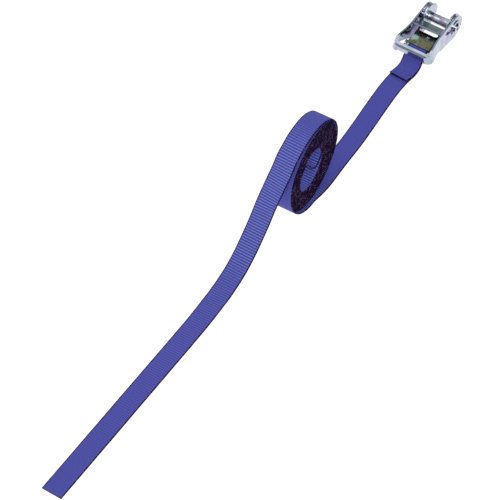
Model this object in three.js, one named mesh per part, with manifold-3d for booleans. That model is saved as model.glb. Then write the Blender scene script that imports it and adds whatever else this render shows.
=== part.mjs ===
// A ratchet tie down for 25 mm webbing: an endless strap with no hooks, its buckle closed, its middle rolled up.
// Millimetres, +Z up. The buckle lies on its base with its middle over the origin.
// +X runs from the handle's grip towards the spool, and +Y along the spool. The webbing leaves along -X.
import * as THREE from "three";
import { mergeVertices } from "three/addons/utils/BufferGeometryUtils.js";
import Module from "manifold-3d";

const wasm = await Module();
wasm.setup();

// ---- driving dimensions ---------------------------------------------------------------------------------------
const GAP = 0.3; // clearance between pieces that touch on the real buckle
const RUN_GAP = 0.4; // running clearance beside the wheels and round the spool
const SHEET = 1.8; // steel sheet of frame and handle
const ABOVE = 45; // higher than any of the metal
const BEYOND = 60; // further along X than any of the metal

const SPOOL = { x: 24.75, z: 16.8 };
const BAR_R = 6; // the two half-round bars that make the spool
const SLOT_W = 4.4; // the webbing slot between the bars
const BAR_END = 23.8; // half the spool's length

// Layers from the middle plane out: frame plate, ratchet wheel, handle arm, washer
const CLEAR = 14.2;
const FRAME_OUT = CLEAR + SHEET;
const WHEEL_IN = FRAME_OUT + RUN_GAP;
const WHEEL_OUT = WHEEL_IN + 2.2;
const ARM_IN = WHEEL_OUT + RUN_GAP;
const ARM_OUT = ARM_IN + SHEET;
const WASHER = { inner: BAR_R + GAP, outer: 9.4, y: ARM_OUT + GAP, t: 0.8 };
const COTTER = { r: 0.6, y: 22.8, reach: 8, eye: 1.9 };

const TEETH = 24;
const TIP_R = 13.3;
const ROOT_R = 11.1;
const FACE_ANGLE = 160; // direction of one tooth's face from the spool axis, counted from +X towards +Z
const ROOT_ARC = 9; // degrees of root between a face and the next tooth's slope
const TIP_ARC = 1.5;

const PAWL_T = 2.2;
const PAWL_TIP_U = 11.45; // where a pawl's tip ends in the teeth
const PAWL_STROKE = 2.6;
const DRIVE_ANGLE = FACE_ANGLE;
const LOCK_ANGLE = FACE_ANGLE + 15;

const FRAME = { back: -31.5, backTop: 14.5, waistTop: 14, earX: 18.5, earZ: 15.5 };
const BASE = { x0: -17.5, x1: 8 };
const SPRING_TAB = { x0: -13.9, x1: -12.3, y: -3.5, half: 2.4, top: 18.8 };

// The handle's side view: a round end about the spool, a long level top, and the turn down to the grip's front
const ARM = { r: 15.5, topX: -6, top: 30.6, levelX: -33, level: 30, turnX: -39.5, turn: 29, frontTop: 22, low: 15 };
// The arms' lower edge: its start, then each curve's control point and end
const ARM_LOWER = [[-38, 14.5], [-26, 15.5, -16, 10], [-8, 5, 2, 4]];
const GRIP = { front: -43.3, half: 23.8, corner: 8, window: -38.8, low: 17.5, edge: 25.3 };
// The arms' outer faces: straight beside the spool, then spreading towards the grip
const FLARE = [[-10, ARM_OUT], [-20, 21.8], [-30, 23.4]];
// Below this height the handle widens downwards, the more the nearer the grip
const SPLAY = { below: 30, from: -12, reach: 31, rate: 0.011 };

const PIN = { x: -22.8, z: 9.8, r: 3, sleeve: 4.2, headR: 5, headT: 2.2, nutT: 2.6, proud: 0.4 };

const WEB = { w: 25, t: 1.4, lift: 0.05 };
const LOOP_R = PIN.sleeve + GAP + WEB.t; // outside of the webbing round the pin's sleeve
const DOUBLE_T = 2 * WEB.t + 0.1; // the two sewn layers
const SEWN_END = -68.3;
// The coil's half-width, how much taller it stands, its hole and how far that is set back towards the tail
const ROLL = { x: -278.5, y: -4.1, r: 54.7, tall: 3, hole: 23.8, back: 5.4, lean: -2.3, yaw: 3.5 };

// The sewn end's middle, from the pin down to the ground: x, y, height
const SEWN_ROUTE = [
  [-33.5, 0, 6.9], [-40, -1.4, 4.9], [-47, -2.3, 3.2], [-54, -2, 2.1], [-60, -1, 1.6], [SEWN_END, -0.2, 1.55],
];
// Where the middle of the webbing lies: x, y, height
const RUN_ROUTE = [
  [-68.7, 0, 0.75], [-90, 0, 0.75], [-120, -2, 0.75], [-150, -4.5, 0.75], [-180, -6.5, 0.75], [-215, -7.5, 0.75],
  [-252, -9, 0.75],
];
const TAIL_ROUTE = [
  [-326, -3.5, 96], [-336, -3.5, 81], [-350, -3.5, 63], [-365, -3.5, 47], [-381, -3.5, 32], [-397, -3.5, 19],
  [-414, -3.5, 9], [-430, -3.5, 3.5], [-446, -4, 1], [-460, -4.5, 0.75], [-490, -5.5, 0.75], [-530, -5.5, 0.75],
  [-605, -5, 0.75], [-685, -4.5, 0.75], [-758.5, -4, 0.75],
];
const TAIL_FLAT_X = -443; // the tail's lean has gone by here
const STITCH = { rows: 4, first: -55.5, step: -3.8, half: 10.5, w: 0.7, t: 0.4 };

// ---- materials ------------------------------------------------------------------------------------------------
const material = (color, roughness, metalness) =>
  new THREE.MeshStandardMaterial({ color, roughness, metalness });
const zinc = material(0xc9d1d6, 0.28, 1);
const steel = material(0x9aa0a4, 0.35, 1);
const webbing = material(0x4a52a8, 0.85, 0);
const thread = material(0x3a3f96, 0.8, 0);

// ---- solids ---------------------------------------------------------------------------------------------------
function solid(geometry) {
  const bare = geometry.clone();
  bare.deleteAttribute("normal");
  bare.deleteAttribute("uv");
  const merged = mergeVertices(bare, 1e-4);
  return new wasm.Manifold(
    new wasm.Mesh({
      numProp: 3,
      vertProperties: merged.attributes.position.array,
      triVerts: new Uint32Array(merged.index.array),
    }),
  );
}

function geometryOf(made) {
  const mesh = made.getMesh();
  const geometry = new THREE.BufferGeometry();
  geometry.setAttribute("position", new THREE.BufferAttribute(mesh.vertProperties, 3));
  geometry.setIndex(new THREE.BufferAttribute(mesh.triVerts, 1));
  const flat = geometry.toNonIndexed();
  flat.computeVertexNormals();
  return flat;
}

const join = (...parts) => parts.reduce((whole, next) => whole.add(next));
const cut = (whole, ...tools) => tools.reduce((left, tool) => left.subtract(tool), whole);
const onBothSides = (make) => join(make(1), make(-1));
const radians = THREE.MathUtils.degToRad;

const outline = (points) => new THREE.Shape(points.map(([a, b]) => new THREE.Vector2(a, b)));

// A shape drawn in X and Z, filled from y = low to y = high.
function acrossY(shape, low, high, curveSegments = 10) {
  const geometry = new THREE.ExtrudeGeometry(shape, { depth: high - low, bevelEnabled: false, curveSegments });
  return geometry.rotateX(Math.PI / 2).translate(0, high, 0);
}

// A shape drawn in X and Y, filled from z = low to z = high.
function upZ(shape, low, high, curveSegments = 6) {
  const geometry = new THREE.ExtrudeGeometry(shape, { depth: high - low, bevelEnabled: false, curveSegments });
  return geometry.translate(0, 0, low);
}

// The same shape in two slabs, from inner to outer on each side of the middle plane.
function inBothPlates(shape, inner, outer, curveSegments) {
  return onBothSides((side) => {
    const [low, high] = side > 0 ? [inner, outer] : [-outer, -inner];
    return solid(acrossY(shape, low, high, curveSegments));
  });
}

function box(x0, x1, y0, y1, z0, z1) {
  const geometry = new THREE.BoxGeometry(x1 - x0, y1 - y0, z1 - z0);
  return geometry.translate((x0 + x1) / 2, (y0 + y1) / 2, (z0 + z1) / 2);
}

function barAlongY(x, z, radius, low, high, sides = 24) {
  return new THREE.CylinderGeometry(radius, radius, high - low, sides).translate(x, (low + high) / 2, z);
}

// A closed tube about Y.
function tubeAlongY(x, z, inner, outer, low, high, sides = 24) {
  const profile = [[inner, low], [outer, low], [outer, high], [inner, high], [inner, low]];
  const points = profile.map(([r, y]) => new THREE.Vector2(r, y));
  return new THREE.LatheGeometry(points, sides).translate(x, 0, z);
}

// ---- the pawls' own frame: u out from the spool axis, y along it, w away from the tooth face -------------------
function pawlFrame(angle) {
  const [c, s] = [Math.cos(radians(angle)), Math.sin(radians(angle))];
  const frame = new THREE.Matrix4().makeBasis(
    new THREE.Vector3(c, 0, s),
    new THREE.Vector3(0, 1, 0),
    new THREE.Vector3(-s, 0, c),
  );
  return frame.setPosition(SPOOL.x, 0, SPOOL.z);
}

const pawlBox = (angle, ...limits) => solid(box(...limits).applyMatrix4(pawlFrame(angle)));

// A box on both sides: limits are u0, u1, y0, y1, w0, w1 of the one at +Y.
function pawlBoxes(angle, u0, u1, y0, y1, w0, w1) {
  return onBothSides((side) => {
    const [low, high] = side > 0 ? [y0, y1] : [-y1, -y0];
    return pawlBox(angle, u0, u1, low, high, w0, w1);
  });
}

// An outline of [u, w] points, filled from y = low to y = high.
function pawlShape(angle, points, low, high) {
  return solid(acrossY(outline(points), low, high).applyMatrix4(pawlFrame(angle)));
}

// The pointed ends that reach into the wheels' teeth.
function pawlTongues(angle, inner, outer, length) {
  const points = [
    [PAWL_TIP_U, GAP], [PAWL_TIP_U + length, GAP], [PAWL_TIP_U + length, GAP + PAWL_T],
    [PAWL_TIP_U + 2.2, GAP + PAWL_T], [PAWL_TIP_U, GAP + 1.3],
  ];
  return join(pawlShape(angle, points, inner, outer), pawlShape(angle, points, -outer, -inner));
}

// ---- frame ----------------------------------------------------------------------------------------------------
function frameBracket() {
  const { x, z } = SPOOL;
  const { back, backTop, waistTop, earX, earZ } = FRAME;
  const plate = new THREE.Shape();
  plate.moveTo(back + 5, 0);
  plate.lineTo(x, 0);
  plate.absellipse(x, earZ, earX, earZ, -Math.PI / 2, Math.PI / 2, false);
  plate.absellipse(x, earZ, earZ, earZ, Math.PI / 2, radians(155), false);
  plate.quadraticCurveTo(6, waistTop + 2, -2, waistTop);
  plate.lineTo(back + 8, backTop);
  plate.quadraticCurveTo(back, backTop, back, PIN.z);
  plate.quadraticCurveTo(back, 2, back + 5, 0);
  const plates = inBothPlates(plate, CLEAR, FRAME_OUT, 14);
  const base = solid(box(BASE.x0, BASE.x1, -CLEAR - 0.5, CLEAR + 0.5, 0, SHEET));
  const { x0, x1, y, half, top } = SPRING_TAB;
  const tab = solid(box(x0, x1, y - half, y + half, SHEET - 0.5, top));
  const bearing = solid(barAlongY(x, z, BAR_R + RUN_GAP, -FRAME_OUT - 1, FRAME_OUT + 1));
  const pinHole = solid(barAlongY(PIN.x, PIN.z, PIN.r + GAP, -FRAME_OUT - 1, FRAME_OUT + 1));
  const slots = pawlBoxes(
    LOCK_ANGLE, PAWL_TIP_U - GAP, LOCK.earEnd + PAWL_STROKE + GAP, CLEAR - 1, FRAME_OUT + 1, 0, PAWL_T + 2 * GAP,
  );
  return cut(join(plates, base, tab), bearing, pinHole, slots);
}

function strapPin() {
  const head = solid(barAlongY(PIN.x, PIN.z, PIN.headR, FRAME_OUT + GAP, FRAME_OUT + GAP + PIN.headT));
  const end = -FRAME_OUT - GAP - PIN.nutT - PIN.proud;
  const shank = solid(barAlongY(PIN.x, PIN.z, PIN.r, end, FRAME_OUT + GAP + PIN.headT / 2));
  return join(head, shank);
}

function strapPinNut() {
  const low = -FRAME_OUT - GAP - PIN.nutT;
  const nut = solid(barAlongY(PIN.x, PIN.z, PIN.headR, low, low + PIN.nutT, 6));
  return cut(nut, solid(barAlongY(PIN.x, PIN.z, PIN.r + GAP, low - 1, low + PIN.nutT + 1)));
}

// ---- pawls and their springs ----------------------------------------------------------------------------------
const LOCK = { earEnd: 17.5, bodyStart: 14.5, bend: 32, end: 49.6, drop: 3.6, endT: 1.4, windowEnd: 38.9 };
const LOCK_OPENING = { u0: 21.4, u1: 28.4, half: 12.2 }; // a long round-ended hole across the plate
const LOCK_SPRING = { inner: 1.3, outer: 1.9, u0: 31, u1: 36.6, w: 3.3 };
const DRIVE = { earStart: 14.5, earEnd: 19.2, earOut: ARM_OUT + 1.8, crossStart: 20.4, centreStart: 15 };
const DRIVE_STOP = { u0: 18.2, u1: 19.5, high: -3.9 }; // upturned ears that the springs push on
const DRIVE_TAB = { u0: 26.8, u1: 28.2, high: -4.1 }; // tabs on the handle's arms
const DRIVE_SPRING = { y: 17.4, w: -2.1, outer: 1.1, inner: 0.6, u0: DRIVE_STOP.u1 + GAP, u1: DRIVE_TAB.u0 - GAP };
const LIP = { rise: 28.6, end: 33.3, top: -2.6, t: 1.6, lean: 0.7 }; // the finger edge, curled up behind the springs

// A round-ended hole across a pawl's plate.
function acrossPlate(angle, { u0, u1, half }) {
  const r = (u1 - u0) / 2;
  const shape = new THREE.Shape();
  shape.absarc(u0 + r, half - r, r, 0, Math.PI, false);
  shape.absarc(u0 + r, r - half, r, Math.PI, 2 * Math.PI, false);
  return solid(upZ(shape, -1, PAWL_T + 2, 8).applyMatrix4(pawlFrame(angle)));
}

// Pointed ends in the wheels, and a plate that slopes down behind them over the strap's loop.
function lockPawl() {
  const [low, high] = [GAP, GAP + PAWL_T];
  const { bodyStart, bend, end, drop, endT, windowEnd } = LOCK;
  const plate = pawlShape(
    LOCK_ANGLE,
    [[bodyStart, low], [bend, low], [end, low + drop], [end - GAP, low + drop + endT], [bend, high], [bodyStart, high]],
    -CLEAR + GAP, CLEAR - GAP,
  );
  const { y, half } = SPRING_TAB;
  const window = pawlBox(LOCK_ANGLE, LOCK_SPRING.u0 - GAP, windowEnd, y - half - GAP, y + half + GAP, -2, 12);
  const tongues = pawlTongues(LOCK_ANGLE, CLEAR - 1.2, WHEEL_OUT, LOCK.earEnd - PAWL_TIP_U);
  return cut(join(tongues, plate), window, acrossPlate(LOCK_ANGLE, LOCK_OPENING));
}

function springTube(angle, { inner, outer, u0, u1, w }, y) {
  const profile = [[inner, 0], [outer, 0], [outer, u1 - u0], [inner, u1 - u0], [inner, 0]];
  return new THREE.LatheGeometry(profile.map(([r, h]) => new THREE.Vector2(r, h)), 16)
    .rotateZ(-Math.PI / 2)
    .translate(u0, y, w)
    .applyMatrix4(pawlFrame(angle));
}

function drivePawl() {
  const [low, high] = [GAP, GAP + PAWL_T];
  const full = WHEEL_OUT;
  return join(
    pawlTongues(DRIVE_ANGLE, WHEEL_IN, full, DRIVE.crossStart + 1 - PAWL_TIP_U),
    pawlBoxes(DRIVE_ANGLE, DRIVE.earStart, DRIVE.earEnd, full - 0.5, DRIVE.earOut, low, high),
    pawlBoxes(DRIVE_ANGLE, DRIVE_STOP.u0, DRIVE_STOP.u1, WHEEL_IN, full, DRIVE_STOP.high, high),
    pawlShape(
      DRIVE_ANGLE,
      [
        [DRIVE.crossStart, low], [LIP.rise, low], [LIP.end, LIP.top], [LIP.end + LIP.lean, LIP.top + LIP.t],
        [LIP.rise + LIP.lean, high], [DRIVE.crossStart, high],
      ],
      -full, full,
    ),
    pawlBox(DRIVE_ANGLE, DRIVE.centreStart, DRIVE.crossStart + 1, -CLEAR, CLEAR, low, high),
  );
}

// ---- handle ---------------------------------------------------------------------------------------------------
function armProfile() {
  const { x, z } = SPOOL;
  const [start, ...curves] = ARM_LOWER;
  const shape = new THREE.Shape();
  shape.moveTo(GRIP.front - 1, ARM.frontTop);
  shape.lineTo(GRIP.front - 1, ARM.low);
  shape.lineTo(...start);
  for (const curve of curves) shape.quadraticCurveTo(...curve);
  shape.absarc(x, z, ARM.r, radians(-97), radians(95), false);
  shape.lineTo(ARM.topX, ARM.top);
  shape.lineTo(ARM.levelX, ARM.level);
  shape.quadraticCurveTo(ARM.turnX, ARM.turn, GRIP.front - 1, ARM.frontTop);
  return shape;
}

// The arms run straight beside the spool and spread towards the grip.
function handleArms() {
  const far = [SPOOL.x + ARM.r + 1, ARM_OUT];
  const outer = [far, ...FLARE, [GRIP.front - 1, GRIP.half]];
  const plan = [...outer, ...outer.map(([x, y]) => [x, y - SHEET]).reverse()];
  const profile = solid(acrossY(armProfile(), -GRIP.half - 1, GRIP.half + 1, 14));
  return onBothSides((sign) => {
    const points = plan.map(([x, y]) => [x, sign * y]);
    return solid(upZ(outline(sign > 0 ? points : points.reverse()), -1, ABOVE)).intersect(profile);
  });
}

// The grip is the sheet's far end, rolled forwards and down.
function gripPlate() {
  const { front, half, window, low, edge } = GRIP;
  const shape = new THREE.Shape();
  shape.moveTo(front, low);
  shape.lineTo(front + SHEET, low);
  shape.quadraticCurveTo(front + SHEET, edge - 1.3, window, edge);
  shape.lineTo(window, edge + SHEET);
  shape.quadraticCurveTo(front, edge + 0.7, front, edge - 4.3);
  return solid(acrossY(shape, 0.5 - half, half - 0.5, 8));
}

// The handle's outline from above, closed far beyond the spool, less an inset.
function handleOutline(inset) {
  const half = GRIP.half - inset;
  const front = GRIP.front + inset;
  const corner = GRIP.corner - inset;
  const shape = new THREE.Shape();
  shape.moveTo(BEYOND, -half);
  shape.lineTo(BEYOND, half);
  shape.lineTo(front + corner, half);
  shape.absarc(front + corner, half - corner, corner, radians(90), radians(180), false);
  shape.absarc(front + corner, -half + corner, corner, radians(180), radians(270), false);
  return solid(upZ(shape, -1, ABOVE));
}

// Fills the grip's corners between its two rounded outlines.
function gripCorners() {
  const { front, corner, half } = GRIP;
  const ring = cut(handleOutline(0), handleOutline(SHEET));
  const reach = solid(box(front - 1, front + corner + 3, -half, half, ARM.low, ABOVE));
  return ring.intersect(reach).intersect(solid(acrossY(armProfile(), -half, half, 14)));
}

function splayed(geometry) {
  const { below, from, reach, rate } = SPLAY;
  const position = geometry.attributes.position;
  for (let i = 0; i < position.count; i++) {
    const near = Math.min(Math.max((from - position.getX(i)) / reach, 0), 1);
    const depth = Math.max(below - position.getZ(i), 0);
    position.setY(i, position.getY(i) * (1 + rate * near * depth));
  }
  return geometry;
}

function handle() {
  const { front, half, corner, low } = GRIP;
  const { earStart, earEnd } = DRIVE;
  const openFront = solid(box(front - 1, front + corner + 1, corner - half, half - corner, -1, low));
  const tabs = pawlBoxes(DRIVE_ANGLE, DRIVE_TAB.u0, DRIVE_TAB.u1, WHEEL_IN, ARM_IN + 0.5, DRIVE_TAB.high, 0);
  const whole = join(handleArms(), gripPlate(), gripCorners(), tabs).intersect(handleOutline(0));
  const bearing = solid(barAlongY(SPOOL.x, SPOOL.z, BAR_R + RUN_GAP, -half - 1, half + 1));
  const slots = pawlBoxes(
    DRIVE_ANGLE, earStart - GAP, earEnd + PAWL_STROKE + GAP, ARM_IN - 0.2, half + 1, 0, PAWL_T + 2 * GAP,
  );
  return cut(whole, openFront, bearing, slots);
}

// ---- spool ----------------------------------------------------------------------------------------------------
function spoolBar(sign) {
  const { x, z } = SPOOL;
  const half = Math.acos(SLOT_W / 2 / BAR_R);
  const middle = sign > 0 ? 0 : Math.PI;
  const shape = new THREE.Shape();
  shape.absarc(x, z, BAR_R, middle - half, middle + half, false);
  const bar = solid(acrossY(shape, -BAR_END, BAR_END, 14));
  const holes = onBothSides((side) =>
    solid(
      new THREE.CylinderGeometry(COTTER.r + GAP, COTTER.r + GAP, 4 * BAR_R, 10)
        .rotateZ(Math.PI / 2)
        .translate(x, side * COTTER.y, z),
    ),
  );
  return cut(bar, holes);
}

function ratchetWheel(side) {
  const pitch = 360 / TEETH;
  const at = (radius, angle) => [
    SPOOL.x + radius * Math.cos(radians(angle)),
    SPOOL.z + radius * Math.sin(radians(angle)),
  ];
  const points = [];
  for (let tooth = 0; tooth < TEETH; tooth++) {
    const face = FACE_ANGLE + tooth * pitch;
    points.push(at(ROOT_R, face), at(ROOT_R, face + ROOT_ARC));
    points.push(at(TIP_R, face + pitch - TIP_ARC), at(TIP_R, face + pitch));
  }
  const [low, high] = side > 0 ? [WHEEL_IN, WHEEL_OUT] : [-WHEEL_OUT, -WHEEL_IN];
  const disc = solid(acrossY(outline(points), low, high));
  const hole = solid(barAlongY(SPOOL.x, SPOOL.z, BAR_R + GAP, low - 1, high + 1));
  const webHalf = SLOT_W / 2 - GAP;
  const web = box(SPOOL.x - webHalf, SPOOL.x + webHalf, low - 2, high + 2, SPOOL.z - 8, SPOOL.z + 8);
  return cut(disc, cut(hole, solid(web)));
}

function endWasher(side) {
  const { inner, outer, y, t } = WASHER;
  const [low, high] = side > 0 ? [y, y + t] : [-y - t, -y];
  return solid(tubeAlongY(SPOOL.x, SPOOL.z, inner, outer, low, high));
}

// A split pin along X through both bars, with its eye at the front.
function cotterPin(side) {
  const { r, y, reach, eye } = COTTER;
  const shank = new THREE.CylinderGeometry(r, r, 2 * reach, 10)
    .rotateZ(Math.PI / 2)
    .translate(SPOOL.x, side * y, SPOOL.z);
  const ring = new THREE.Shape();
  const centre = SPOOL.x - reach - eye + 0.5;
  ring.absarc(centre, SPOOL.z, eye, 0, 2 * Math.PI, false);
  const hole = new THREE.Path();
  hole.absarc(centre, SPOOL.z, eye - 2 * r + 0.2, 0, 2 * Math.PI, true);
  ring.holes.push(hole);
  return join(solid(shank), solid(acrossY(ring, side * y - r, side * y + r, 8)));
}

// ---- webbing --------------------------------------------------------------------------------------------------
// Straight-line value of column `column` at x, along a route whose x falls.
function along(route, x, column) {
  const last = route.length - 1;
  if (x >= route[0][0]) return route[0][column];
  if (x <= route[last][0]) return route[last][column];
  const next = route.findIndex((point) => point[0] <= x);
  const [a, b] = [route[next - 1], route[next]];
  return a[column] + ((b[column] - a[column]) * (a[0] - x)) / (a[0] - b[0]);
}

// The edge-on outline of a strip of the given thickness along a line of [x, z].
function stripOutline(line, thickness) {
  const [upper, lower] = [[], []];
  line.forEach(([x, z], i) => {
    const before = line[Math.max(i - 1, 0)];
    const after = line[Math.min(i + 1, line.length - 1)];
    const length = Math.hypot(after[0] - before[0], after[1] - before[1]);
    const [nx, nz] = [(after[1] - before[1]) / length, -(after[0] - before[0]) / length];
    upper.push([x + (nx * thickness) / 2, z + (nz * thickness) / 2]);
    lower.push([x - (nx * thickness) / 2, z - (nz * thickness) / 2]);
  });
  return [...upper, ...lower.reverse()];
}

// Moves each vertex sideways by shift(x), and lowers the +Y edge by the lean at x.
function laidSideways(geometry, shift, lean = () => 0) {
  const position = geometry.attributes.position;
  for (let i = 0; i < position.count; i++) {
    const [x, y, z] = [position.getX(i), position.getY(i), position.getZ(i)];
    position.setXYZ(i, x, y + shift(x), z - y * Math.tan(radians(lean(x))));
  }
  return geometry;
}

const sewnMiddle = (x) => along(SEWN_ROUTE, x, 1);

// The webbing round the pin's sleeve, drawn together into two sewn layers.
function sewnLoop() {
  const half = WEB.w / 2;
  const [[startX, , startZ]] = SEWN_ROUTE;
  const eye = solid(barAlongY(PIN.x, PIN.z, LOOP_R, -half, half, 32));
  const throat = solid(box(startX, startX + 1, -half, half, startZ - DOUBLE_T / 2, startZ + DOUBLE_T / 2));
  const tongue = solid(acrossY(outline(stripOutline(SEWN_ROUTE.map(([x, , z]) => [x, z]), DOUBLE_T)), -half, half));
  const hole = solid(barAlongY(PIN.x, PIN.z, PIN.sleeve + GAP, -half - 1, half + 1));
  const flat = geometryOf(cut(join(wasm.Manifold.hull([eye, throat]), tongue), hole));
  return laidSideways(flat, sewnMiddle);
}

function strip(route, lean) {
  const profile = stripOutline(route.map(([x, , z]) => [x, z]), WEB.t);
  const flat = acrossY(outline(profile), -WEB.w / 2, WEB.w / 2);
  return laidSideways(flat, (x) => along(route, x, 1), lean);
}

function tailLean(x) {
  const start = TAIL_ROUTE[0][0];
  return ROLL.lean * Math.min(1, Math.max(0, (x - TAIL_FLAT_X) / (start - TAIL_FLAT_X)));
}

function rollHeight() {
  const lean = radians(Math.abs(ROLL.lean));
  return (ROLL.r + ROLL.tall) * Math.cos(lean) + (WEB.w / 2) * Math.sin(lean) + WEB.lift;
}

function roll() {
  const { x, y, r, tall, hole, back, lean, yaw } = ROLL;
  const shape = new THREE.Shape();
  shape.absellipse(0, 0, r, r + tall, 0, 2 * Math.PI, false);
  const opening = new THREE.Path();
  opening.absellipse(-back, 0, hole, hole + tall, 0, 2 * Math.PI, true);
  shape.holes.push(opening);
  return acrossY(shape, -WEB.w / 2, WEB.w / 2, 48)
    .rotateX(-radians(lean))
    .rotateZ(radians(yaw))
    .translate(x, y, rollHeight());
}

function stitchRow(row) {
  const x = STITCH.first + row * STITCH.step;
  const y = sewnMiddle(x);
  const z = along(SEWN_ROUTE, x, 2) + DOUBLE_T / 2 + GAP + 0.15;
  return box(x - STITCH.w / 2, x + STITCH.w / 2, y - STITCH.half, y + STITCH.half, z, z + STITCH.t);
}

// ---- the tie down ---------------------------------------------------------------------------------------------
const tieDown = new THREE.Group();

function add(name, geometry, look) {
  const mesh = new THREE.Mesh(geometry, look);
  mesh.name = name;
  tieDown.add(mesh);
}

add("frame_bracket", geometryOf(frameBracket()), zinc);
add("strap_pin", geometryOf(strapPin()), steel);
add("strap_pin_nut", geometryOf(strapPinNut()), steel);
add("strap_pin_sleeve", tubeAlongY(PIN.x, PIN.z, PIN.r + GAP, PIN.sleeve, -CLEAR + GAP, CLEAR - GAP), steel);
add("lock_pawl", geometryOf(lockPawl()), zinc);
add("lock_pawl_spring", springTube(LOCK_ANGLE, LOCK_SPRING, SPRING_TAB.y), steel);
add("handle", splayed(geometryOf(handle())), zinc);
add("drive_pawl", geometryOf(drivePawl()), zinc);
for (const [side, sign] of [["left", 1], ["right", -1]]) {
  add(`drive_pawl_spring_${side}`, springTube(DRIVE_ANGLE, DRIVE_SPRING, sign * DRIVE_SPRING.y), steel);
  add(`ratchet_wheel_${side}`, geometryOf(ratchetWheel(sign)), steel);
  add(`end_washer_${side}`, geometryOf(endWasher(sign)), zinc);
  add(`cotter_pin_${side}`, geometryOf(cotterPin(sign)), steel);
}
add("spool_bar_front", geometryOf(spoolBar(1)), steel);
add("spool_bar_rear", geometryOf(spoolBar(-1)), steel);
add("webbing_sewn_loop", sewnLoop(), webbing);
add("webbing_run", strip(RUN_ROUTE), webbing);
add("webbing_roll", roll(), webbing);
add("webbing_tail", strip(TAIL_ROUTE, tailLean), webbing);
for (let row = 0; row < STITCH.rows; row++) add(`stitch_row_${row + 1}`, stitchRow(row), thread);

export default tieDown;
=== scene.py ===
"""The look of a ratchet tie down for 25 mm webbing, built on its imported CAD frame. Metres, +Z up."""
import math
import random

import bpy
from mathutils import Matrix, Vector


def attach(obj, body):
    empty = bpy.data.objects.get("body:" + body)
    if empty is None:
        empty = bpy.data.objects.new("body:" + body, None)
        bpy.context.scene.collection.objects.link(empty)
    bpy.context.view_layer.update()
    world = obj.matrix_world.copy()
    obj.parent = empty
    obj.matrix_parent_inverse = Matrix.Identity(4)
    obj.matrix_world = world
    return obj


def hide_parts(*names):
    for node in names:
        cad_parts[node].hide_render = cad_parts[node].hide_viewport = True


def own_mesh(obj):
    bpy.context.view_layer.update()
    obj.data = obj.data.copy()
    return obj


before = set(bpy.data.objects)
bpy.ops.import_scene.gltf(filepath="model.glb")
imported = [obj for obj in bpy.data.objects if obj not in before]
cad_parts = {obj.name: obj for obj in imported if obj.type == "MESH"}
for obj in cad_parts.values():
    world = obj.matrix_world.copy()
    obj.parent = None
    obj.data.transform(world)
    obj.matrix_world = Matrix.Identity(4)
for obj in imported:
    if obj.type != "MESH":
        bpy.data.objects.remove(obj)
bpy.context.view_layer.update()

MM = 0.001

# ---- camera, floor and light ---------------------------------------------------------------------
CAMERA_AT = Vector((-2.0380, -1.0888, 2.4380))
CAMERA_AIM = Vector((-0.3755, 0.0031, 0.0))
CAMERA_VIEW_DEG = 10.0
LIT_PLACE = Vector((-0.3, 0.0, 0.0))
FLOOR_HALF = 6.0
FLOOR_GREY = 0.3
FLOOR_GLOW = 0.92
# Each light's name, place, size and power in watts
LIGHTS = [("overhead", (-0.3, 0.3, 2.6), 3.2, 24), ("key", (-1.6, -1.2, 2.2), 1.0, 16)]


def look_from(place, aim):
    return (aim - place).to_track_quat("-Z", "Y").to_euler()


def add_camera():
    data = bpy.data.cameras.new("camera")
    data.sensor_fit = "HORIZONTAL"
    data.angle = math.radians(CAMERA_VIEW_DEG)
    data.clip_end = 20.0
    camera = bpy.data.objects.new("camera", data)
    camera.location = CAMERA_AT
    camera.rotation_euler = look_from(CAMERA_AT, CAMERA_AIM)
    bpy.context.scene.collection.objects.link(camera)
    bpy.context.scene.camera = camera


def add_area_light(name, place, size, watts):
    data = bpy.data.lights.new(name, "AREA")
    data.size = size
    data.energy = watts
    lamp = bpy.data.objects.new(name, data)
    lamp.location = place
    lamp.rotation_euler = look_from(Vector(place), LIT_PLACE)
    bpy.context.scene.collection.objects.link(lamp)


def add_floor():
    half = FLOOR_HALF
    corners = [(-half, -half, 0), (half, -half, 0), (half, half, 0), (-half, half, 0)]
    floor = mesh_object("floor", corners, [(0, 1, 2, 3)])
    look, shader = new_material("floor_white")
    shader.inputs["Base Color"].default_value = (FLOOR_GREY, FLOOR_GREY, FLOOR_GREY, 1)
    shader.inputs["Roughness"].default_value = 0.9
    shader.inputs["Emission Color"].default_value = (1, 1, 1, 1)
    shader.inputs["Emission Strength"].default_value = FLOOR_GLOW
    floor.data.materials.append(look)


# Height of the direction looked in, and the room's colour there: white at the floor's end, dimmer above it
ROOM = [(0.06, (1.0, 1.0, 1.0)), (0.14, (0.27, 0.30, 0.32)), (0.75, (0.52, 0.53, 0.55))]


# A pale room, so that bright metal has something to reflect.
def add_world():
    world = bpy.data.worlds.new("world")
    world.use_nodes = True
    nodes, links = world.node_tree.nodes, world.node_tree.links
    direction = nodes.new("ShaderNodeTexCoord")
    split = nodes.new("ShaderNodeSeparateXYZ")
    ramp = nodes.new("ShaderNodeValToRGB")
    ramp.color_ramp.elements.new(0.5)
    for element, (height, color) in zip(ramp.color_ramp.elements, ROOM):
        element.position = height
        element.color = (*color, 1)
    links.new(direction.outputs["Generated"], split.inputs[0])
    links.new(split.outputs["Z"], ramp.inputs[0])
    links.new(ramp.outputs[0], nodes["Background"].inputs["Color"])
    nodes["Background"].inputs["Strength"].default_value = 1.0
    bpy.context.scene.world = world


# ---- mesh and material helpers -------------------------------------------------------------------
def mesh_object(name, points, faces, smooth=False):
    mesh = bpy.data.meshes.new(name)
    mesh.from_pydata([tuple(p) for p in points], [], faces)
    mesh.validate()
    mesh.update()
    if smooth:
        mesh.polygons.foreach_set("use_smooth", [True] * len(mesh.polygons))
    made = bpy.data.objects.new(name, mesh)
    bpy.context.scene.collection.objects.link(made)
    return made


def new_material(name):
    material = bpy.data.materials.new(name)
    material.use_nodes = True
    return material, material.node_tree.nodes["Principled BSDF"]


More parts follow.
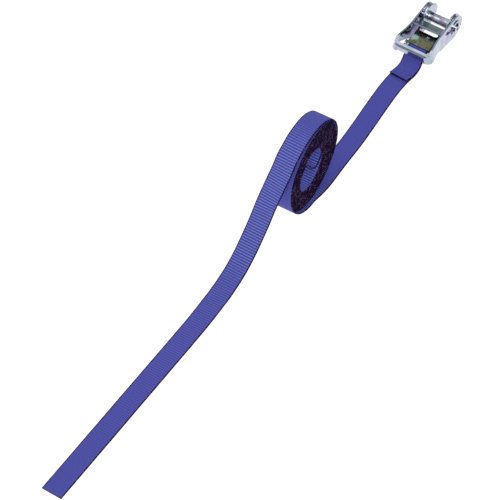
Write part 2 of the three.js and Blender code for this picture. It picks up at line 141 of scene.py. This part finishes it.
COLOR_SOCKETS = (6, 7)  # a mix node's two colours


class Nodes:
    """Short names for the nodes that the materials are made of."""

    def __init__(self, material):
        self.tree = material.node_tree
        self.place = self.tree.nodes.new("ShaderNodeTexCoord").outputs["Object"]

    def link(self, source, target):
        self.tree.links.new(source, target)

    def noise(self, scale, detail=2.0, stretch=None):
        node = self.tree.nodes.new("ShaderNodeTexNoise")
        node.inputs["Scale"].default_value = scale
        node.inputs["Detail"].default_value = detail
        source = self.place
        if stretch:
            mapping = self.tree.nodes.new("ShaderNodeMapping")
            mapping.inputs["Scale"].default_value = stretch
            self.link(self.place, mapping.inputs["Vector"])
            source = mapping.outputs[0]
        self.link(source, node.inputs["Vector"])
        return node.outputs["Fac"]

    def ramp(self, source, stops):
        node = self.tree.nodes.new("ShaderNodeValToRGB")
        elements = node.color_ramp.elements
        while len(elements) < len(stops):
            elements.new(0.5)
        for element, (position, color) in zip(elements, stops):
            element.position = position
            element.color = (*color, 1)
        self.link(source, node.inputs[0])
        return node.outputs[0]

    def math(self, operation, *values):
        node = self.tree.nodes.new("ShaderNodeMath")
        node.operation = operation
        for i, value in enumerate(values):
            if isinstance(value, (int, float)):
                node.inputs[i].default_value = value
            else:
                self.link(value, node.inputs[i])
        return node.outputs[0]

    def mix(self, factor, a, b):
        node = self.tree.nodes.new("ShaderNodeMix")
        node.data_type = "RGBA"
        self.link(factor, node.inputs[0])
        for slot, value in zip(COLOR_SOCKETS, (a, b)):
            if isinstance(value, tuple):
                node.inputs[slot].default_value = (*value, 1)
            else:
                self.link(value, node.inputs[slot])
        return node.outputs[2]

    def spread(self, source, low, high, start=0.0, end=1.0):
        node = self.tree.nodes.new("ShaderNodeMapRange")
        node.inputs["From Min"].default_value = start
        node.inputs["From Max"].default_value = end
        node.inputs["To Min"].default_value = low
        node.inputs["To Max"].default_value = high
        self.link(source, node.inputs["Value"])
        return node.outputs[0]

    def bump(self, height, distance, strength=1.0):
        node = self.tree.nodes.new("ShaderNodeBump")
        node.inputs["Strength"].default_value = strength
        node.inputs["Distance"].default_value = distance
        self.link(height, node.inputs["Height"])
        return node.outputs[0]

    def uv(self, name):
        node = self.tree.nodes.new("ShaderNodeUVMap")
        node.uv_map = name
        split = self.tree.nodes.new("ShaderNodeSeparateXYZ")
        self.link(node.outputs[0], split.inputs[0])
        return split.outputs["X"], split.outputs["Y"]


# ---- materials -----------------------------------------------------------------------------------
# Metres: the spacing of ribs, selvedge knots and warp threads, and the webbing's own size
RIB_PITCH = 0.003
KNOT_PITCH = 0.0022
WARP_PITCH = 0.0011
WEB_THICK = 0.0014
RIB_FULL = 0.22  # millimetres that the ribs stand where they stand full
WARP_SHARE = 0.3  # height of a warp thread beside a rib
WEB_DARK = (0.050, 0.046, 0.300)
WEB_MIDDLE = (0.082, 0.096, 0.410)
WEB_LIGHT = (0.420, 0.480, 0.900)
WEB_FLAT = (0.076, 0.080, 0.385)
# The selvedge and end faces' near black is painted shade of the roll's side and the strap's edges; the specks
# are pale threads.
EDGE_DARK_AND_SHADE = (0.012, 0.003, 0.022)
EDGE_SPECK = (0.22, 0.16, 0.34)
THREAD_DARK = (0.05, 0.05, 0.28)
THREAD_LIGHT = (0.13, 0.14, 0.46)
GRAIN_SCALE = 700.0
GRAIN_DEPTH = 0.00002
WEAVE_DEPTH = 0.00012
TWIST_DEPTH = 0.00005


# Plated steel: the base colour drifts over the surface between patches of the metal's own tone and patches of
# painted reflection, over a fine rolled grain.
def plated(name, tones_and_reflections, rough=(0.14, 0.34), patch=45.0, grain=(0.3, 4.0, 4.0)):
    material, shader = new_material(name)
    made = Nodes(material)
    drift = made.noise(patch, 3.0)
    streak = made.noise(GRAIN_SCALE, 2.0, grain)
    shader.inputs["Metallic"].default_value = 1.0
    made.link(made.ramp(drift, tones_and_reflections), shader.inputs["Base Color"])
    made.link(made.spread(streak, *rough), shader.inputs["Roughness"])
    made.link(made.bump(streak, GRAIN_DEPTH, 0.6), shader.inputs["Normal"])
    return material


# Zinc plate: its own grey, with teal and lavender patches that are painted reflection of the blue strap and
# the room.
ZINC_TONE_AND_REFLECTIONS = [
    (0.30, (0.18, 0.36, 0.34)),
    (0.44, (0.38, 0.44, 0.48)),
    (0.56, (0.46, 0.47, 0.60)),
    (0.70, (0.34, 0.30, 0.52)),
]
# Bright steel: dark, bright and purple patches of painted reflection of the room and the blue strap, around
# the steel's own grey.
STEEL_TONE_AND_REFLECTIONS = [
    (0.30, (0.24, 0.28, 0.30)),
    (0.45, (0.72, 0.74, 0.80)),
    (0.58, (0.34, 0.26, 0.38)),
    (0.72, (0.72, 0.66, 0.76)),
]
# The lock pawl: dark olive, brown and green patches of painted reflection, around the plate's own grey.
LOCK_TONE_AND_REFLECTIONS = [
    (0.30, (0.30, 0.40, 0.38)),
    (0.42, (0.09, 0.12, 0.06)),
    (0.50, (0.17, 0.14, 0.07)),
    (0.57, (0.11, 0.15, 0.12)),
    (0.68, (0.46, 0.50, 0.56)),
]


# Woven polyester: thin pale lines between wide ribs and fine warp threads along. They fade to one flat colour
# where the ribs don't stand.
def woven(name):
    material, shader = new_material(name)
    made = Nodes(material)
    across, along = made.uv("weave")
    ribs = made.math("SINE", made.math("MULTIPLY_ADD", along, 2 * math.pi / RIB_PITCH, math.pi / 2))
    warp = made.math("SINE", made.math("MULTIPLY", across, 2 * math.pi / WARP_PITCH))
    weave = made.math("MULTIPLY_ADD", warp, WARP_SHARE, ribs)
    most = 1 + WARP_SHARE
    height = made.spread(weave, 0.0, 1.0, -most, most)
    thread = made.ramp(height, [(0.0, WEB_LIGHT), (0.24, WEB_MIDDLE), (0.62, WEB_MIDDLE), (1.0, WEB_DARK)])
    standing = made.uv("ribs")[0]
    made.link(made.mix(standing, WEB_FLAT, thread), shader.inputs["Base Color"])
    shader.inputs["Roughness"].default_value = 0.8
    shader.inputs["Specular IOR Level"].default_value = 0.15
    made.link(made.bump(height, WEAVE_DEPTH, 0.5), shader.inputs["Normal"])
    return material


# The strap's selvedge and end faces: painted shade, near black, with a pale thread showing here and there.
def selvedge(name):
    material, shader = new_material(name)
    made = Nodes(material)
    along = made.uv("weave")[1]
    knots = made.math("SINE", made.math("MULTIPLY", along, 2 * math.pi / KNOT_PITCH))
    mixed = made.math("MULTIPLY", made.spread(knots, 0.3, 1.0), made.noise(220.0, 2.0))
    made.link(made.ramp(mixed, [(0.50, EDGE_DARK_AND_SHADE), (0.60, EDGE_SPECK)]), shader.inputs["Base Color"])
    shader.inputs["Roughness"].default_value = 0.9
    shader.inputs["Specular IOR Level"].default_value = 0.03
    return material


def sewing_thread(name):
    material, shader = new_material(name)
    made = Nodes(material)
    twist = made.noise(2500.0, 1.0)
    made.link(made.ramp(twist, [(0.3, THREAD_DARK), (0.7, THREAD_LIGHT)]), shader.inputs["Base Color"])
    shader.inputs["Roughness"].default_value = 0.55
    made.link(made.bump(twist, TWIST_DEPTH), shader.inputs["Normal"])
    return material


# ---- the webbing's way ---------------------------------------------------------------------------
# Millimetres. The sewn end, the run and the tail follow the same routes as in the CAD.
Y_AXIS = Vector((0, 1, 0))
PIN = (-22.8, 9.8)
WRAP_R = 5.25
WRAP_FROM, WRAP_TO = 130.0, -98.6
WRAP_STEPS = 36
LAYER = 0.75
END_RISE = 2.6
END_RISE_OVER = 15
SEWN_STEPS = 8
ROUTE_STEPS = 24
SEWN_ROUTE = [
    (-33.5, 0, 6.9), (-40, -1.4, 4.9), (-47, -2.3, 3.2), (-54, -2, 2.1), (-60, -1, 1.6),
    (-68.3, -0.2, 1.55),
]
RUN_ROUTE = [
    (-68.7, 0, 0.75), (-90, 0, 0.75), (-120, -2, 0.75), (-150, -4.5, 0.75), (-180, -6.5, 0.75),
    (-215, -7.5, 0.75), (-252, -9, 0.75),
]
TAIL_ROUTE = [
    (-326, -3.5, 96), (-336, -3.5, 81), (-350, -3.5, 63), (-365, -3.5, 47), (-381, -3.5, 32),
    (-397, -3.5, 19), (-414, -3.5, 9), (-430, -3.5, 3.5), (-446, -4, 1), (-460, -4.5, 0.75),
    (-490, -5.5, 0.75), (-530, -5.5, 0.75), (-605, -5, 0.75), (-685, -4.5, 0.75), (-758.5, -4, 0.75),
]
TAIL_SKIPPED = 2  # the way off the roll takes the place of this many of the tail's first points
# The run turns to the roll's width over the last share of its points, and the tail turns back over its first
RUN_TURN_FROM, RUN_TURN_OVER = 0.8, 0.2
TAIL_TURN_RATE = 3

# The roll's middle, its lean and yaw, the radius of its outer turn, how much taller than wide it stands, how
# far back its inner turns lie, the spacing of its layers, its turns, and the angle where the tail leaves it
ROLL_AT = (-278.5, -4.1, 58.2)
ROLL_LEAN = math.radians(-2.3)
ROLL_YAW = math.radians(3.5)
ROLL_R = 54.0
ROLL_TALL = 3.0
ROLL_BACK = 0.19
PITCH = 1.764
TURNS = 8
TAIL_LEAVES = 125.0

# The turns' angles are degrees round the roll from its bottom
LEAD = 8  # between the two points that lead a curve in or out of the turns
ENTRY_DEG = (0.0, 9.0)
BUCKLE_FROM = 12.0
CORE_FROM = 105.0 + 360 * TURNS
CORE_TO = 262.0 + 360 * TURNS
CORE_R = 24
CORE_STEPS = 14
TURN_STEP = 3
LOOSE_FROM, LOOSE_OVER = 300, 120  # where the turns begin to stand unevenly
INNER_FROM = 360 * TURNS - 120  # from here on a turn is seen through the roll's hole
OFFSET_MOST = 0.35

# By degrees round the roll from its bottom: how far each strand stands aside of the roll, and out of it
BUCKLE_ASIDE = [(0, -5.0), (50, -4.0), (120, -1.5), (260, -0.3), (400, 0)]
BUCKLE_OUT = [(0, 0)]
TAIL_ASIDE = [
    (110, 2.2), (135, 1.4), (155, 0.5), (178, 0.0), (195, -0.3), (220, -0.7), (270, -0.6), (340, -0.3),
    (460, 0),
]
TAIL_OUT = [(110, 5.0), (130, 4.6), (155, 4.0), (180, 3.0), (215, 1.8), (270, 0.8), (340, 0)]
# How far the ribs stand: on the floor by the distance along -X, in the roll by degrees round it
FLOOR_RIBS = [
    (150, 0.02), (240, 0.05), (300, 0.2), (385, 0.19), (440, 0.09), (520, 0.06), (620, 0.04), (720, 0.02),
]
BUCKLE_RIBS = [(0, 0.06)]
TAIL_RIBS = [(110, 0.2), (150, 0.18), (188, 0.07), (230, 0.05)]
CORE_RIBS = [(0, RIB_FULL)]
# The fold at the heart of the roll, in the roll's plane
CORE = [
    (-20.5, 13.5), (-18.5, 17.0), (-14.5, 19.0), (-9.5, 17.6), (-4.0, 11.0), (1.0, 3.0), (6.5, -3.6),
    (12.0, -6.6), (17.0, -5.2),
]


def between(stops, x):
    """The value at x, eased from one stop to the next."""
    if x <= stops[0][0]:
        return stops[0][1]
    for (x0, a), (x1, b) in zip(stops, stops[1:]):
        if x <= x1:
            t = (x - x0) / (x1 - x0)
            return a + (b - a) * t * t * (3 - 2 * t)
    return stops[-1][1]


def smooth_curve(points, steps):
    """Catmull-Rom through points."""
    made = []
    for i in range(len(points) - 1):
        p0, p1, p2, p3 = points[max(i - 1, 0)], points[i], points[i + 1], points[min(i + 2, len(points) - 1)]
        for k in range(steps):
            t = k / steps
            made.append(0.5 * (2 * p1 + (p2 - p0) * t + (2 * p0 - 5 * p1 + 4 * p2 - p3) * t * t
                               + (3 * p1 - p0 - 3 * p2 + p3) * t ** 3))
    made.append(points[-1].copy())
    return made


ROLL_TURN = Matrix.Rotation(ROLL_YAW, 4, "Z") @ Matrix.Rotation(-ROLL_LEAN, 4, "X")
ROLL_WIDTH = (ROLL_TURN @ Vector((0, 1, 0))).normalized()


def in_roll(x, z, aside):
    """A point given in the roll's own plane, as a place in the scene."""
    return ROLL_TURN @ Vector((x, aside, z)) + Vector(ROLL_AT)


def strand_point(degrees, radius, aside):
    angle = math.radians(degrees)
    back = ROLL_BACK * max(0.0, ROLL_R - radius)
    return in_roll(-radius * math.sin(angle) - back, -(radius + ROLL_TALL) * math.cos(angle), aside)


def buckle_radius(degrees):
    return ROLL_R - 2 * PITCH * degrees / 360


def tail_radius(degrees):
    return ROLL_R + PITCH - 2 * PITCH * degrees / 360


def turn_offsets(seed):
    """A small seeded offset for each half turn, so that the turns' edges don't lie in one plane."""
    draw = random.Random(seed)
    return [(180.0 * i, draw.uniform(-OFFSET_MOST, OFFSET_MOST)) for i in range(2 * TURNS + 6)]


def end_rise(x):
    """How far the cut end's layer stands off the one below it."""
    return END_RISE * max(0.0, 1 - (x - SEWN_ROUTE[-1][0]) / END_RISE_OVER) ** 2


def sewn_points():
    """From the cut end over the sewn tongue, round the pin and back under it."""
    line = smooth_curve([Vector(p) for p in reversed(SEWN_ROUTE)], SEWN_STEPS)

    def layer(sign):
        made = []
        for i, p in enumerate(line):
            step = line[min(i + 1, len(line) - 1)] - line[max(i - 1, 0)]
            normal = Vector((-step.z, 0, step.x)).normalized()
            rise = end_rise(p.x) if sign > 0 else 0
            made.append(p + normal * LAYER * sign + Vector((0, 0, rise)))
        return made

    wrap = []
    for k in range(WRAP_STEPS + 1):
        a = math.radians(WRAP_FROM + (WRAP_TO - WRAP_FROM) * k / WRAP_STEPS)
        wrap.append(Vector((PIN[0] + WRAP_R * math.cos(a), 0, PIN[1] + WRAP_R * math.sin(a))))
    return layer(1) + wrap + list(reversed(layer(-1)))


def core_points():
    """The fold at the heart of the roll: off the far wall, over to the near one and up that."""
    return [in_roll(x - ROLL_BACK * (ROLL_R - CORE_R), z, 0) for x, z in CORE]


def width_on_run(t):
    turned = max(0.0, (t - RUN_TURN_FROM) / RUN_TURN_OVER)
    return Y_AXIS.lerp(ROLL_WIDTH, turned).normalized()


def width_on_tail(t):
    return ROLL_WIDTH.lerp(Y_AXIS, min(1.0, TAIL_TURN_RATE * t)).normalized()


def stretch(points, width_at, ribs):
    """A stretch of the way: place, width direction, how far the ribs stand, and that it is seen."""
    made = []
    for i, point in enumerate(points):
        t = i / max(1, len(points) - 1)
        made.append((point, width_at(t), between(ribs, -point.x), True))
    return made


def turns(radius, aside, out, first, last, seed, outer_until, outer_ribs):
    """One strand's turns from one angle to another: ribbed where they are seen, plain inside the roll."""
    made = []
    marks = turn_offsets(seed)
    count = int(abs(last - first) / TURN_STEP)
    for k in range(count + 1):
        a = first + (last - first) * k / count
        loose = min(1.0, max(0.0, (a - LOOSE_FROM) / LOOSE_OVER))
        stands = between(aside, a) + loose * between(marks, a)
        point = strand_point(a, radius(a) + between(out, a), stands)
        outer, inner = a < outer_until, a > INNER_FROM
        ribs = between(outer_ribs, a) if outer else RIB_FULL if inner else 0.0
        made.append((point, ROLL_WIDTH, ribs, outer or inner))
    return made


def run_stretch():
    entry = [strand_point(a, buckle_radius(a), between(BUCKLE_ASIDE, a)) for a in ENTRY_DEG]
    curve = smooth_curve([Vector(p) for p in RUN_ROUTE] + entry, ROUTE_STEPS)
    return stretch(curve[:-ROUTE_STEPS], width_on_run, FLOOR_RIBS)


def core_stretch():
    into = [strand_point(a, buckle_radius(a), 0) for a in (CORE_FROM - LEAD, CORE_FROM)]
    out_of = [strand_point(a, tail_radius(a), 0) for a in (CORE_TO, CORE_TO - LEAD)]
    curve = smooth_curve(into + core_points() + out_of, CORE_STEPS)
    lead = CORE_STEPS + 1
    return stretch(curve[lead:-lead], lambda t: ROLL_WIDTH, CORE_RIBS)


def tail_stretch():
    leaving = [
        strand_point(a, tail_radius(a) + between(TAIL_OUT, a), between(TAIL_ASIDE, a))
        for a in (TAIL_LEAVES + LEAD, TAIL_LEAVES)
    ]
    curve = smooth_curve(leaving + [Vector(p) for p in TAIL_ROUTE[TAIL_SKIPPED:]], ROUTE_STEPS)
    return stretch(curve[ROUTE_STEPS:], width_on_tail, FLOOR_RIBS)


def strap_way():
    """The strap's middle line, from the cut end at the buckle to the tail's end."""
    way = stretch(sewn_points(), lambda t: Y_AXIS, FLOOR_RIBS)
    way += run_stretch()
    way += turns(buckle_radius, BUCKLE_ASIDE, BUCKLE_OUT, BUCKLE_FROM, CORE_FROM,
                 seed=3, outer_until=400, outer_ribs=BUCKLE_RIBS)
    way += core_stretch()
    way += turns(tail_radius, TAIL_ASIDE, TAIL_OUT, CORE_TO, TAIL_LEAVES + 2,
                 seed=4, outer_until=520, outer_ribs=TAIL_RIBS)
    way += tail_stretch()
    return way


FINE_STEP = RIB_PITCH / 6 / MM
COARSE_STEP = 2.6


def resampled(way):
    """The way at even steps, with the distance walked: fine where it is seen, coarse inside the roll."""
    made = [(*way[0], 0.0)]
    walked, last = 0.0, 0.0
    for (p0, w0, r0, f0), (p1, w1, r1, f1) in zip(way, way[1:]):
        length = (p1 - p0).length
        if length < 1e-6:
            continue
        step = FINE_STEP if f1 else COARSE_STEP
        while last + step <= walked + length:
            last += step
            t = (last - walked) / length
            made.append((p0.lerp(p1, t), w0.lerp(w1, t), r0 + (r1 - r0) * t, f1, last))
        walked += length
    made.append((*way[-1], walked))
    return made


# The strap's section, walked round once: across in millimetres, and the share of half the thickness.
SECTION = [
    (-11.25, 1), (-6, 1), (0, 1), (6, 1), (11.25, 1), (12.4, 0.62), (12.5, 0), (12.4, -0.62),
    (11.25, -1), (6, -1), (0, -1), (-6, -1), (-11.25, -1), (-12.4, -0.62), (-12.5, 0), (-12.4, 0.62),
]
# The section's sides that are selvedge
SELVEDGE = (4, 5, 6, 7, 12, 13, 14, 15)


def lay_uv(mesh, name, uv_at):
    layer = mesh.uv_layers.new(name=name)
    for loop in mesh.loops:
        layer.data[loop.index].uv = uv_at(loop.vertex_index)


def section_rings(sections):
    """The mesh's points, ring by ring, and each one's place across and along the strap."""
    points, marks = [], []
    half = WEB_THICK / MM / 2
    count = len(sections)
    for i, (place, width, ribs, _, walked) in enumerate(sections):
        tangent = (sections[min(i + 1, count - 1)][0] - sections[max(i - 1, 0)][0]).normalized()
        side = (width - tangent * width.dot(tangent)).normalized()
        normal = tangent.cross(side)
        wave = math.cos(2 * math.pi * walked * MM / RIB_PITCH)
        for across, share in SECTION:
            thick = half * share
            if abs(share) == 1:
                thick += ribs * share * (wave - 1) / 2
            points.append((place + side * across + normal * thick) * MM)
            marks.append((across * MM, walked * MM))
    return points, marks


def strap_faces(count, around):
    faces = []
    for i in range(count - 1):
        for k in range(around):
            a, b = i * around + k, i * around + (k + 1) % around
            faces.append((a, a + around, b + around, b))
    faces.append(tuple(range(around)))
    faces.append(tuple(reversed(range((count - 1) * around, count * around))))
    return faces


def build_strap():
    """The strap's object and its length in metres."""
    sections = resampled(strap_way())
    points, marks = section_rings(sections)
    count, around = len(sections), len(SECTION)
    strap = mesh_object("strap", points, strap_faces(count, around), smooth=True)
    lay_uv(strap.data, "weave", lambda vertex: marks[vertex])
    lay_uv(strap.data, "ribs", lambda vertex: (sections[vertex // around][2] / RIB_FULL, 0))
    strap.data.materials.append(woven("webbing_woven"))
    strap.data.materials.append(selvedge("webbing_selvedge"))
    for i, polygon in enumerate(strap.data.polygons):
        if i >= (count - 1) * around or i % around in SELVEDGE:
            polygon.material_index = 1
    return strap, sections[-1][4] * MM


# ---- stitches ------------------------------------------------------------------------------------
STITCH_FIRST, STITCH_STEP, STITCH_HALF = -55.5, -3.8, 10.5
STITCH_ROWS = 4
STITCHES = 9
STITCH_START = 0.08
STITCH_FILL = 0.84
STITCH_ARCH = 0.30
STITCH_SUNK = 0.10
STITCH_SLANT = 0.35
STITCH_BENDS = 8
THREAD_R = 0.24


def tube(points, radius, sides=8):
    """Points and faces of a closed tube along a line of points."""
    made, faces = [], []
    normal = None
    for i, p in enumerate(points):
        tangent = (points[min(i + 1, len(points) - 1)] - points[max(i - 1, 0)]).normalized()
        if normal is None:
            normal = tangent.orthogonal().normalized()
        normal = (normal - tangent * normal.dot(tangent)).normalized()
        binormal = tangent.cross(normal)
        for k in range(sides):
            a = 2 * math.pi * k / sides
            made.append(p + (normal * math.cos(a) + binormal * math.sin(a)) * radius)
    for i in range(len(points) - 1):
        for k in range(sides):
            a, b = i * sides + k, i * sides + (k + 1) % sides
            faces.append((a, b, b + sides, a + sides))
    faces.append(tuple(reversed(range(sides))))
    faces.append(tuple(range((len(points) - 1) * sides, len(points) * sides)))
    return made, faces


def sewn_top(x):
    """The middle and the top of the sewn tongue at x."""
    for (x0, y0, z0), (x1, y1, z1) in zip(SEWN_ROUTE, SEWN_ROUTE[1:]):
        if x >= x1:
            t = (x0 - x) / (x0 - x1)
            return y0 + (y1 - y0) * t, z0 + (z1 - z0) * t + LAYER + WEB_THICK / MM / 2 + end_rise(x)
    return SEWN_ROUTE[-1][1], SEWN_ROUTE[-1][2] + LAYER + WEB_THICK / MM / 2 + end_rise(x)


def add_stitch_row(row, look):
    """A row of short stitches that dip into the webbing, across the strap."""
    x = STITCH_FIRST + row * STITCH_STEP
    pitch = 2 * STITCH_HALF / STITCHES
    points, faces = [], []
    for k in range(STITCHES):
        y0 = -STITCH_HALF + (k + STITCH_START) * pitch
        line = []
        for j in range(STITCH_BENDS + 1):
            t = j / STITCH_BENDS
            rise = STITCH_ARCH * math.sin(math.pi * t) - STITCH_SUNK
            slant = STITCH_SLANT * (t - 0.5)
            middle, top = sewn_top(x + slant)
            line.append(Vector((x + slant, middle + y0 + STITCH_FILL * pitch * t, top + rise)) * MM)
        stitch_points, stitch_faces = tube(line, THREAD_R * MM)
        faces += [tuple(i + len(points) for i in face) for face in stitch_faces]
        points += stitch_points
    made = mesh_object(f"stitching_{row + 1}", points, faces, smooth=True)
    made.data.materials.append(look)
    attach(made, "frame")
    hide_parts(f"stitch_row_{row + 1}")
    return made


# ---- springs -------------------------------------------------------------------------------------
SPOOL = (24.75, 16.8)
COIL_SIDES = 14
# The pawl's angle; the spring's ends u0 and u1 along it, its place w above it, and y across the buckle;
# the coil's radius, the wire's radius and the number of turns
LOCK_SPRING = {"angle": 175, "u0": 31.0, "u1": 36.6, "w": 3.3, "coil": 1.5, "wire": 0.33, "turns": 5}
LOCK_SPRING_Y = -3.5
DRIVE_SPRING = {"angle": 160, "u0": 19.8, "u1": 26.5, "w": -2.1, "coil": 0.82, "wire": 0.22, "turns": 8}
DRIVE_SPRING_Y = 17.4


def along_pawl(angle, u, y, w):
    c, s = math.cos(math.radians(angle)), math.sin(math.radians(angle))
    return Vector((SPOOL[0] + c * u - s * w, y, SPOOL[1] + s * u + c * w)) * MM


def add_spring(node, body, joint, look, y, angle, u0, u1, w, coil, wire, turns):
    """A wound spring in place of the CAD's tube."""
    line = []
    low, high = u0 + wire, u1 - wire
    for k in range(turns * COIL_SIDES + 1):
        t = k / (turns * COIL_SIDES)
        a = 2 * math.pi * turns * t
        line.append(along_pawl(angle, low + (high - low) * t, y + coil * math.cos(a), w + coil * math.sin(a)))
    made = mesh_object(f"{node}_wire", *tube(line, wire * MM), smooth=True)
    made.data.materials.append(look)
    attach(made, body)
    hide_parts(node)
    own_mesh(made)


# ---- metal ---------------------------------------------------------------------------------------
# How wide the edges' bevels are: on sheet and bars, on thin plate and on turned steel
SHEET_EDGE, THIN_EDGE, TURNED_EDGE = 0.3, 0.15, 0.25
BEVEL_SHARPER_THAN = math.radians(50)


def dress(node, look, edge):
    """A CAD piece's material, with bevelled edges on it where edge isn't 0."""
    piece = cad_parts[node]
    piece.data.materials.clear()
    piece.data.materials.append(look)
    if edge:
        bevel = piece.modifiers.new("worn_edges", "BEVEL")
        bevel.width = edge * MM
        bevel.segments = 2
        bevel.limit_method = "ANGLE"
        bevel.angle_limit = BEVEL_SHARPER_THAN
        bevel.harden_normals = False


def build_metal():
    zinc = plated("zinc_plate", ZINC_TONE_AND_REFLECTIONS, rough=(0.07, 0.20), patch=60.0)
    steel = plated("steel_bright", STEEL_TONE_AND_REFLECTIONS, rough=(0.12, 0.28), patch=90.0, grain=(4.0, 0.2, 4.0))
    lock = plated("zinc_painted_reflection", LOCK_TONE_AND_REFLECTIONS, rough=(0.12, 0.24), patch=52.0)
    for node in ("frame_bracket", "handle", "drive_pawl"):
        dress(node, zinc, SHEET_EDGE)
    dress("lock_pawl", lock, SHEET_EDGE)
    for side in ("left", "right"):
        dress(f"end_washer_{side}", zinc, THIN_EDGE)
        dress(f"ratchet_wheel_{side}", steel, THIN_EDGE)
        dress(f"cotter_pin_{side}", steel, 0)
    for node in ("spool_bar_front", "spool_bar_rear"):
        dress(node, steel, SHEET_EDGE)
    for node in ("strap_pin", "strap_pin_nut", "strap_pin_sleeve"):
        dress(node, steel, TURNED_EDGE)
    add_spring("lock_pawl_spring", "frame", "lock_pawl_slide", steel, LOCK_SPRING_Y, **LOCK_SPRING)
    for side, sign in (("left", 1), ("right", -1)):
        add_spring(f"drive_pawl_spring_{side}", "handle", "drive_pawl_slide", steel,
                   sign * DRIVE_SPRING_Y, **DRIVE_SPRING)


# ---- the whole -----------------------------------------------------------------------------------
add_camera()
add_world()
add_floor()
for light in LIGHTS:
    add_area_light(*light)
bpy.context.scene.view_settings.view_transform = "Standard"

build_metal()
strap, strap_length = build_strap()
stitch_look = sewing_thread("sewing_thread")
rows = [add_stitch_row(row, stitch_look) for row in range(STITCH_ROWS)]
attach(strap, "frame")
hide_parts("webbing_sewn_loop", "webbing_run", "webbing_roll", "webbing_tail")
